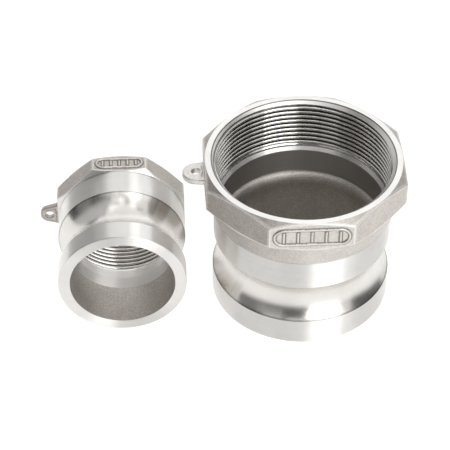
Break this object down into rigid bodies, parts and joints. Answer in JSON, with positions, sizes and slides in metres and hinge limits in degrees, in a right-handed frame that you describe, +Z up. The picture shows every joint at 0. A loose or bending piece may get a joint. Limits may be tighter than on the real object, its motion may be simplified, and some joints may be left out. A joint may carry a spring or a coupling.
{
  "type": "cam-and-groove pipe adapter pair",
  "caption": "Stainless quick-coupling adapters in two pipe sizes, each with a grooved spigot, a wrench octagon, a female pipe thread and a chain lug.",
  "frame": {"origin": "centre of the standing adapter's spigot face, on the surface that the pair stands on", "axes": "+Z up along the standing adapter's axis, out of its thread mouth; the lying adapter is on the -X side, and its spigot end points to -Y"},
  "size_m": [0.1544, 0.0844, 0.07],
  "materials": {
    "stainless_casting": "sand-blasted casting with bright turned lands, groove, ring and thread",
    "stainless_lug": "sand-blasted plate"
  },
  "bodies": {
    "large_adapter": {"large_adapter_body": "stainless_casting", "large_adapter_lug": "stainless_lug"},
    "small_adapter": {"small_adapter_body": "stainless_casting", "small_adapter_lug": "stainless_lug"}
  },
  "joints": [
    {"name": "small_adapter_lift", "type": "slide", "parent": "large_adapter", "child": "small_adapter", "axis": [-0.2588, 0, 0.9659], "range_m": [0, 0.12]}
  ]
}
